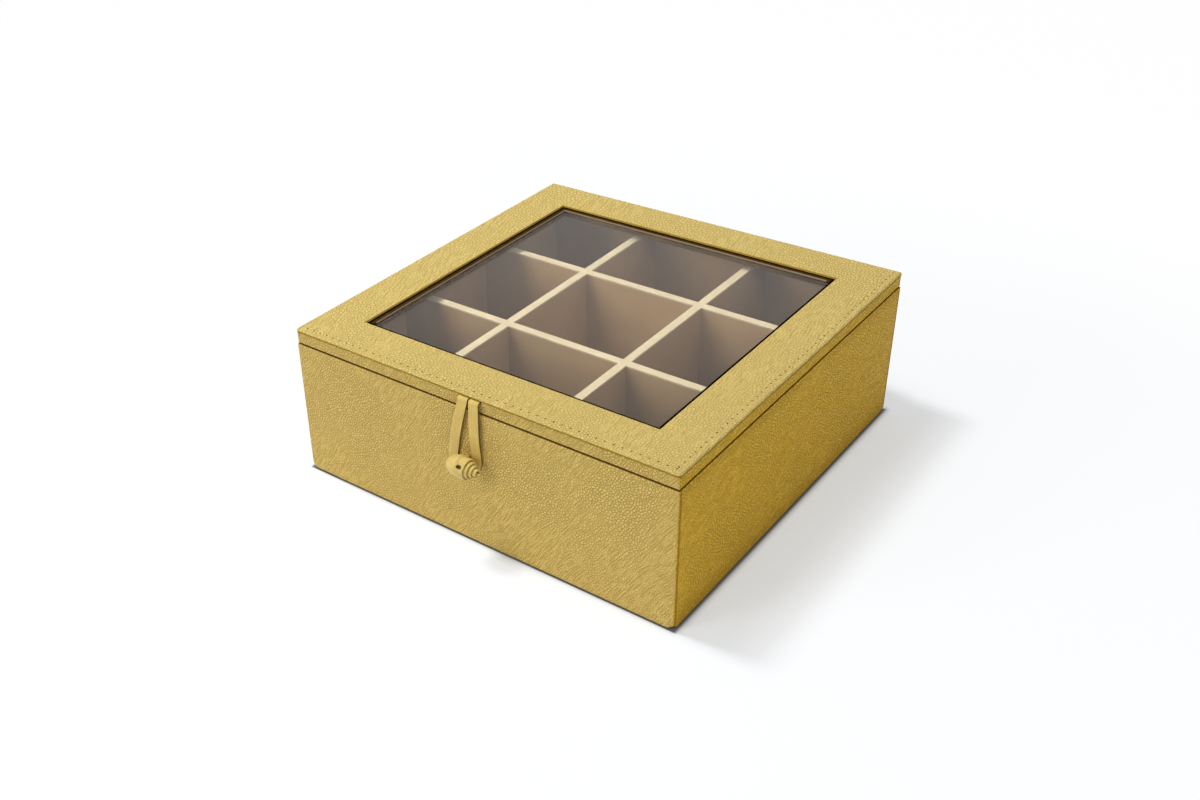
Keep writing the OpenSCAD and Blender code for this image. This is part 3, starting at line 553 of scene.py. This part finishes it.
def moulding_finish():
    """Painted shadow in black beside the leather, brown in the middle and paler along the inner edge."""
    finish = new_finish("dark_moulding")
    here = finish.place()
    inward = WINDOW - here.part("X").size().most(here.part("Y").size())
    grain = finish.noise(finish.stretch(here, (0.3, 0.3, 1.0)), 1.0, 3)
    colour = finish.blend(grain.fade(0.35, 0.65), (0.062, 0.035, 0.009, 1), (0.042, 0.024, 0.006, 1))
    # Painted shadow: a black line beside the leather.
    painted_shadow = inward.fade(BLACK_LINE, BLACK_LINE + 0.3, 1.0, 0.0)
    colour = finish.blend(painted_shadow, colour, (0.003, 0.002, 0.001, 1))
    edge = inward.fade(WIDE_BAR - PALE_EDGE, WIDE_BAR - PALE_EDGE + 0.2)
    colour = finish.blend(edge * 0.8, colour, (0.30, 0.22, 0.15, 1))
    return finish.solid(colour, 0.8, finish.relief(grain, 0.03), Specular_IOR_Level=0.0)


# %% Moulding
def window_moulding():
    mesh = bmesh.new()
    bmesh.ops.create_grid(mesh, x_segments=1, y_segments=1, size=(WINDOW - SIDE_PLAY) * MM)
    bmesh.ops.inset_region(mesh, faces=mesh.faces[:], thickness=(WIDE_BAR + SLIM_BAR) / 2 * MM,
                           use_even_offset=True, use_boundary=True)
    middle = min(mesh.faces, key=lambda face: face.calc_center_median().length)
    shift = (WIDE_BAR - SLIM_BAR) / 2 * MM
    bmesh.ops.translate(mesh, vec=(shift, -shift, 0), verts=middle.verts)
    bmesh.ops.delete(mesh, geom=[middle], context="FACES_ONLY")
    raised = bmesh.ops.extrude_face_region(mesh, geom=mesh.faces[:])["geom"]
    top = [part for part in raised if isinstance(part, bmesh.types.BMVert)]
    bmesh.ops.translate(mesh, vec=(0, 0, MOULDING_H * MM), verts=top)
    bmesh.ops.recalc_face_normals(mesh, faces=mesh.faces[:])
    inner = (WINDOW - SLIM_BAR / 2) * MM
    brim = [edge for edge in mesh.edges if all(
        v.co.z > 0 and max(abs(v.co.x), abs(v.co.y)) < inner for v in edge.verts)]
    bmesh.ops.bevel(mesh, geom=brim, offset=BRIM_ROUND * MM, segments=4, profile=0.5,
                    affect="EDGES", material=-1)
    bmesh.ops.translate(mesh, vec=(0, 0, (GLASS_TOP + GLASS_PLAY) * MM), verts=mesh.verts)
    piece = new_piece(mesh, "window_moulding")
    piece.data.materials.append(moulding_finish())
    print("moulding:", len(piece.data.polygons), "faces")
    return piece


moulding = window_moulding()
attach(moulding, "lid")

# %% [markdown]
# ## Smooth strap leather
# The loop and the toggle are cut from a thinner leather that was shaved smooth. It
# shows no pebbles, only faint streaks along its length. Its cut edge is painted dark: the
# raw edge's own colour together with painted shade beside the strap. The streaks follow
# two numbers that each strip's mesh carries: how far a point lies along the strip and how
# far across it.

# %% Strap leather
def strap_leather(name, hide, deep, cut_from, shade=None):
    """cut_from is how far from the strap's middle its dark cut edge begins, in millimetres: the raw
    edge's own colour with painted shade beside it. shade gives other places that are painted as dark."""
    finish = new_finish(name)
    here = finish.place()
    along = finish.node("ShaderNodeAttribute", {"attribute_name": "along"}, {}, output="Fac")
    across = finish.node("ShaderNodeAttribute", {"attribute_name": "across"}, {}, output="Fac")
    place = finish.node("ShaderNodeCombineXYZ", {}, {"X": along * 0.12, "Y": across * 1.6, "Z": 0.0})
    streak = finish.noise(place, 1.0, 3, 0.6)
    soft = finish.noise(here, 0.18, 2)
    colour = finish.blend(streak.fade(0.3, 0.7), hide, deep)
    colour = finish.blend(soft.fade(0.35, 0.65) * 0.35, colour, toned(deep, 0.85))
    dark = across.size().fade(cut_from, cut_from + 0.1)
    if shade is not None:
        dark = dark.most(shade(finish))
    # Dark for the raw cut edge with painted shade beside it, and painted shade in the toggle's hole.
    colour = finish.blend(dark * 0.9, colour, (0.09, 0.052, 0.001, 1))
    fine = finish.noise(here, 2.2, 3)
    height = streak * 0.7 + fine * 0.4
    return finish.solid(colour, 0.5, finish.relief(height, 0.05), Specular_IOR_Level=0.3)


# %% [markdown]
# ## The loop
# The strap leaves the lid under the top frame, bends sharply down over the seam, runs
# down the front as two legs and turns behind the toggle, under its neck. It is flat, so
# it is built as a ribbon: one short row of points across the strap, extruded from
# station to station. The stations repeat the route that the CAD solid takes. The ribbon
# then gets its thickness and round edges.

# %% Sizes of the closure, in millimetres, as in the CAD model
FRONT_Y = -120.0
STRAP_W, STRAP_T = 6.3, 1.1
LEG_GAP, STRAP_PLAY = 0.6, 0.3
LEG_X = (STRAP_W + LEG_GAP) / 2
LOOP_X, FOOT_X, TOGGLE_X, TOGGLE_Z, TOGGLE_R = 0.8, -3.2, 2.2, 53.0, 6.4
STRAP_Y = FRONT_Y - STRAP_PLAY - STRAP_T / 2
TOGGLE_Y = STRAP_Y - STRAP_T / 2 - STRAP_PLAY - TOGGLE_R
TAIL_Y, TAIL_Z = -118.4, 88.0
LOOP_TOP = TAIL_Z + STRAP_T / 2
BEND_Y, BEND_R = FRONT_Y - 0.1, 1.2
BULGE, TUCK_FROM = 0.6, 0.62
FOOT_Z = TOGGLE_Z + 0.6
TURN_X, TURN_H = 7.65, 5.85
LEAN = math.radians(12)
print("toggle centre", (TOGGLE_X, round(TOGGLE_Y, 2), TOGGLE_Z))


# %% The loop's route
def smooth(u):
    """Goes gently from 0 to 1 as u does."""
    u = min(max(u, 0.0), 1.0)
    return u * u * (3 - 2 * u)


def turn_point(a):
    """A point of the oval turn behind the toggle; a goes from the left leg round to the right."""
    return Vector((FOOT_X - TURN_X * math.cos(a), STRAP_Y, FOOT_Z - TURN_H * math.sin(a)))


def leg_point(u, side):
    """A point at share u of the way down one leg, side -1 for the left and 1 for the right."""
    top = Vector((LOOP_X + side * LEG_X, 0, LOOP_TOP - BEND_R))
    point = top.lerp(turn_point(-LEAN if side < 0 else math.pi), u)
    tuck = smooth((u - TUCK_FROM) / (1 - TUCK_FROM))
    out = BEND_Y - BEND_R - BULGE * math.sin(math.pi * u)
    point.y = out * (1 - tuck) + STRAP_Y * tuck
    return point


def half_route(side, bends=8, steps=30):
    """Middle line from the lid to the foot of one leg, and the direction of the strap there."""
    down = Vector((0, 0, -1))
    leg_x = LOOP_X + side * LEG_X
    stations = [(Vector((leg_x, TAIL_Y, LOOP_TOP)), down)]
    for i in range(bends + 1):
        t = math.pi / 2 * i / bends
        bent = Vector((leg_x, BEND_Y - BEND_R * math.sin(t), LOOP_TOP - BEND_R * (1 - math.cos(t))))
        stations.append((bent, down))
    slope = leg_point(1, side) - leg_point(0, side)
    slope = Vector((slope.x, 0, slope.z)).normalized()
    for i in range(1, steps + 1):
        stations.append((leg_point(i / steps, side), down.lerp(slope, smooth(i / steps))))
    return stations


def loop_route(turns=24):
    """Each station is the middle and the direction across, which lies in the front's plane."""
    route = half_route(-1)
    for i in range(1, turns):
        a = -LEAN + (math.pi + LEAN) * i / turns
        route.append((turn_point(a), Vector((TURN_X * math.sin(a), 0, -TURN_H * math.cos(a)))))
    route += [(point, -run) for point, run in reversed(half_route(1))]
    return [(point, Vector((-run.z, 0, run.x)).normalized()) for point, run in route]


# %% A ribbon, extruded from station to station
def ribbon(name, count, rows, place):
    """place(i, k) gives the point of row k at station i and how far across the strip it is."""
    mesh = bmesh.new()
    along = mesh.verts.layers.float.new("along")
    over = mesh.verts.layers.float.new("across")

    def settle(line, i, travelled):
        for k, vert in enumerate(line):
            vert.co, vert[over] = place(i, k)[0] * MM, place(i, k)[1]
            vert[along] = travelled

    line = [mesh.verts.new((k * MM, 0, 0)) for k in range(rows + 1)]
    edges = [mesh.edges.new(pair) for pair in zip(line, line[1:])]
    travelled = 0.0
    settle(line, 0, travelled)
    for i in range(1, count):
        made = bmesh.ops.extrude_edge_only(mesh, edges=edges)["geom"]
        new = {part for part in made if isinstance(part, bmesh.types.BMVert)}
        line = [next(e.other_vert(v) for e in v.link_edges if e.other_vert(v) in new) for v in line]
        edges = [mesh.edges.get(pair) for pair in zip(line, line[1:])]
        travelled += (place(i, rows // 2)[0] - place(i - 1, rows // 2)[0]).length
        settle(line, i, travelled)
    return new_piece(mesh, name)


def finish_strip(piece, thick, round_edge, leather):
    """Gives a ribbon its thickness, rounds its edges and smooths it."""
    solid = piece.modifiers.new("thickness", "SOLIDIFY")
    solid.thickness, solid.offset = thick * MM, 0
    edge = piece.modifiers.new("round_edges", "BEVEL")
    edge.width, edge.segments, edge.limit_method = round_edge * MM, 3, "ANGLE"
    edge.angle_limit = math.radians(50)
    for polygon in piece.data.polygons:
        polygon.use_smooth = True
    piece.data.materials.append(leather)


# %% The loop
LOOP_ROWS = 6
LOOP_LEATHER = strap_leather("loop_leather", hide=(0.67, 0.475, 0.125, 1),
                             deep=(0.58, 0.40, 0.092, 1), cut_from=STRAP_W / 2 - 0.16)
route = loop_route()


def strap_place(i, k):
    share = (k / LOOP_ROWS - 0.5) * STRAP_W
    return route[i][0] + route[i][1] * share, share


loop = ribbon("closure_strap", len(route), LOOP_ROWS, strap_place)
finish_strip(loop, STRAP_T - 0.06, 0.34, LOOP_LEATHER)
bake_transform(loop)
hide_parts("closure_loop")
print("loop:", len(route), "stations")

# %% [markdown]
# ## The toggle
# The toggle is one tapered strip of leather rolled up tightly. Its right edge steps
# back with every turn, which makes the little beehive on the right. On the left only
# the last turn runs on, and curls in to close the end as a dome. The strip is a ribbon
# again: its stations go round a spiral, and its rows run from the right edge to the
# left. Where the hole was punched, the leather is drawn in, with a crease above it.

# %% The rolled toggle
TOGGLE_L, DOME_L, ROLL_T, ROLL_TURNS = 20.6, 8.0, 0.66, 4.5
ROLL_R0 = 0.2 + ROLL_T / 2
PITCH = (TOGGLE_R - ROLL_T / 2 - ROLL_R0) / ROLL_TURNS
SHOULDER = 0.58
STEPS_A_TURN = 48
COVER = ROLL_TURNS - 1
BAND_ROWS, DOME_ROWS = 14, 9
EDGE_IN, EDGE_L = 0.22, 1.1
TUCKED_L, AXIS_R = 0.8, 1
CLOSE_START, CLOSE_MORE, CLOSE_TURNS = 4, 72, 0.22
PUNCH_X, PUNCH_RISE, PUNCH_R = 0.4, math.radians(31), 0.9
PUNCH_WIDE, PUNCH_SHIFT = 1.6, 0.5
INNER_TURNS = 2.4
DENT, DENT_W, DENT_RISE = 0.75, 1.5, 24
CREASE, CREASE_W, CREASE_X = 0.5, 0.9, PUNCH_X - 1.9
WAVE = 0.16


def drawn_in(x, turn):
    """How far the leather is drawn in towards the axis, most at the punched hole. A crease goes up
    a little to the left of the hole, and the left half is a little wavy."""
    if turn < INNER_TURNS:
        return 0.0
    rise = (-turn * math.tau) % math.tau
    rise = (rise + math.pi) % math.tau - math.pi
    up = math.degrees(rise - PUNCH_RISE)
    dent = DENT * math.exp(-((x - PUNCH_X) / DENT_W) ** 2 - (up / DENT_RISE) ** 2)
    crease_x = CREASE_X + 0.9 * math.exp(-(up / 20) ** 2)
    crease = CREASE * math.exp(-((x - crease_x) / CREASE_W) ** 2)
    crease = crease * smooth((up + 22) / 20) * smooth((80 - up) / 40)
    wave = WAVE * math.sin(0.9 * x + 2.2 * math.sin(rise)) * smooth((4 - x) / 4)
    return (dent + crease + wave) * (1.0 if turn > COVER else 0.55)


def roll_place(i, k):
    """A point of the rolled strip: row 0 is its right edge, BAND_ROWS is where the dome begins."""
    turn = i / STEPS_A_TURN
    radius = ROLL_R0 + PITCH * turn
    share = turn / ROLL_TURNS
    right = TOGGLE_L * (1 - (1 - SHOULDER) * share ** 0.9) - TOGGLE_L / 2
    root = DOME_L - TOGGLE_L / 2
    if k <= BAND_ROWS:
        x = right + (root - right) * (k / BAND_ROWS) ** 1.4
        r = radius - EDGE_IN * max(0.0, 1 - (right - x) / EDGE_L) ** 2
    elif turn < COVER:
        x = root - TUCKED_L * (k - BAND_ROWS) / DOME_ROWS
        r = radius
    else:
        last = CLOSE_START + CLOSE_MORE * smooth((turn - COVER) / CLOSE_TURNS)
        a = math.radians(last * (k - BAND_ROWS) / DOME_ROWS)
        high = radius + ROLL_T / 2 - AXIS_R
        normal = Vector((high * math.sin(a), DOME_L * math.cos(a))).normalized() * ROLL_T / 2
        x = root - DOME_L * math.sin(a) + normal.x
        r = AXIS_R + high * math.cos(a) - normal.y
    r -= drawn_in(x, turn)
    angle = math.tau * turn
    return Vector((TOGGLE_X + x, TOGGLE_Y - r * math.cos(angle), TOGGLE_Z - r * math.sin(angle))), x


def painted_hole_shade(finish):
    """1 inside the punched hole and on its rim, where its shade is painted."""
    here = finish.place()
    x, y, z = (here.part(letter) for letter in "XYZ")
    x, y, z = x - (TOGGLE_X + PUNCH_X - PUNCH_SHIFT), y - TOGGLE_Y, z - TOGGLE_Z
    aside = y * math.sin(PUNCH_RISE) + z * math.cos(PUNCH_RISE)
    front = (y * -math.cos(PUNCH_RISE) + z * math.sin(PUNCH_RISE)).over(0.0)
    away = ((x / PUNCH_WIDE) * (x / PUNCH_WIDE) + aside * aside).root()
    return away.fade(PUNCH_R * 0.95, PUNCH_R * 1.3, 1.0, 0.0) * front


roll = ribbon("toggle_strip", int(ROLL_TURNS * STEPS_A_TURN) + 1, BAND_ROWS + DOME_ROWS, roll_place)
TOGGLE_LEATHER = strap_leather("toggle_leather", hide=(0.64, 0.485, 0.15, 1),
                               deep=(0.57, 0.42, 0.115, 1), cut_from=TOGGLE_L, shade=painted_hole_shade)
finish_strip(roll, ROLL_T + 0.22, 0.3, TOGGLE_LEATHER)
print("rolled toggle:", len(roll.data.polygons), "faces before its thickness")


# %% The punched hole
PUNCH_L, PUNCH_OUT = 8, 6.6


def punch(piece, radius):
    """Cuts a hole into the front of the roll, square to its surface and a little longer than high."""
    mesh = bmesh.new()
    bmesh.ops.create_cone(mesh, cap_ends=True, segments=32, radius1=radius * MM, radius2=radius * MM,
                          depth=PUNCH_L * MM)
    middle = Vector((TOGGLE_X + PUNCH_X - PUNCH_SHIFT, TOGGLE_Y, TOGGLE_Z)) * MM
    turn = Matrix.Rotation(math.pi / 2 - PUNCH_RISE, 4, "X")
    place = Matrix.Translation(middle) @ turn @ Matrix.Translation((0, 0, PUNCH_OUT * MM))
    bmesh.ops.scale(mesh, vec=(PUNCH_WIDE, 1, 1), verts=mesh.verts)
    bmesh.ops.transform(mesh, matrix=place, verts=mesh.verts)
    tool = new_piece(mesh, "punch")
    cut = piece.modifiers.new("punched", "BOOLEAN")
    cut.operation, cut.solver, cut.object = "DIFFERENCE", "EXACT", tool
    seen_now = piece.evaluated_get(bpy.context.evaluated_depsgraph_get())
    piece.data = bpy.data.meshes.new_from_object(seen_now)
    piece.modifiers.clear()
    bpy.data.objects.remove(tool)
    print("punched roll:", len(piece.data.polygons), "faces")


punch(roll, PUNCH_R)
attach(roll, "toggle")
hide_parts("toggle_roll")

for name in ("loop_tails", "toggle_shank"):
    NODES[name].data.materials.clear()
    NODES[name].data.materials.append(LOOP_LEATHER)

# %% [markdown]
# ## Table, light and background
# The photograph is a plain studio shot: a white table that fades into white and a bright
# room. A lamp high on the left throws the box's shadow to the right, and the toggle's on
# the table in front of the box. A wide lamp low on the left lights the front, and a weak
# one the right side. The world is grey for lighting, brighter where the glass or the
# metal sees it, and white for the camera.

# %% What sees the white studio
def seen(finish):
    """1 where the camera, a mirror or a lens looks, and 0 for light that bounces."""
    rays = [finish.node("ShaderNodeLightPath", {}, {}, output=ray)
            for ray in ("Is Camera Ray", "Is Glossy Ray", "Is Transmission Ray")]
    return rays[0].most(rays[1]).most(rays[2])


# %% The table
def white_table():
    """White, with a thin painted contact shadow round the foot, and a glow, painted light that only
    the camera and mirrors see, which grows far off and in front and makes the shadows paler there.
    """
    finish = new_finish("white_table")
    here = finish.place()
    away = (here.part("X").size() - WIDE).most(0.0)
    aside = (here.part("Y").size() - WIDE).most(0.0)
    gap = (away * away + aside * aside).root()
    front = here.part("Y") + WIDE
    # Painted contact shadow: a thin dark line round the foot, fainter in front.
    painted_contact_shadow = gap.fade(0.0, 2.4, 0.85, 0.0) * front.fade(-0.6, 0.0, 0.25, 1.0)
    paint = finish.node("ShaderNodeBsdfDiffuse", {}, {
        "Color": finish.blend(painted_contact_shadow, (0.87, 0.92, 0.98, 1), (0.06, 0.06, 0.06, 1))})
    glow = finish.node("ShaderNodeEmission", {}, {"Color": (1, 1, 1, 1), "Strength": 1.0})
    # The glow's share is painted light: none at the foot, more further off and in front of the box.
    share = gap.fade(0.0, 5.0, 0.0, 0.42) + gap.fade(20.0, 50.0, 0.0, 0.26)
    share = (share + gap.fade(60.0, 350.0, 0.0, 0.30)).most(front.fade(-7.0, -2.0, 0.6, 0.0))
    inputs = {0: seen(finish) * share, 1: paint, 2: glow}
    return finish.surface(finish.node("ShaderNodeMixShader", {}, inputs))


TABLE_R, TABLE_GAP = 12, 0.0001
mesh = bmesh.new()
bmesh.ops.create_circle(mesh, cap_ends=True, segments=64, radius=TABLE_R)
table = new_piece(mesh, "table")
table.data.transform(Matrix.Translation((0, 0, CAD_BOX[0][2] - TABLE_GAP)))
table.data.materials.append(white_table())


# %% Lamps and world
LAMP_AIM = Vector((0, 0, 0.05))


def soft_lamp(name, power, size, place):
    data = bpy.data.lights.new(name, "AREA")
    data.energy, data.shape, data.size = power, "DISK", size
    lamp = bpy.data.objects.new(name, data)
    lamp.location = place
    lamp.rotation_euler = (LAMP_AIM - Vector(place)).to_track_quat("-Z", "Y").to_euler()
    bpy.context.collection.objects.link(lamp)


def room(grey, mirrored, white):
    """How bright the world is for lighting, for the glass and the metal, and for the camera."""
    finish = Finish(bpy.data.worlds.new("room"))
    camera = finish.node("ShaderNodeLightPath", {}, {}, output="Is Camera Ray")
    bright = finish.mix(camera, finish.mix(seen(finish), grey, mirrored), white)
    sky = finish.node("ShaderNodeBackground", {}, {"Color": (1, 1, 1, 1), "Strength": bright})
    bpy.context.scene.world = finish.surface(sky, "ShaderNodeOutputWorld")


soft_lamp("key", power=12.0, size=0.22, place=(-0.55, -0.15, 1.35))
soft_lamp("front_fill", power=12.5, size=0.9, place=(-0.9, -1.7, 0.95))
soft_lamp("side_fill", power=2.5, size=0.4, place=(1.1, -0.6, 1.2))
room(grey=0.464, mirrored=0.8, white=1.0)
bpy.context.scene.view_settings.view_transform = "Standard"
print("lamps:", [lamp.name for lamp in bpy.data.lights])

# %% [markdown]
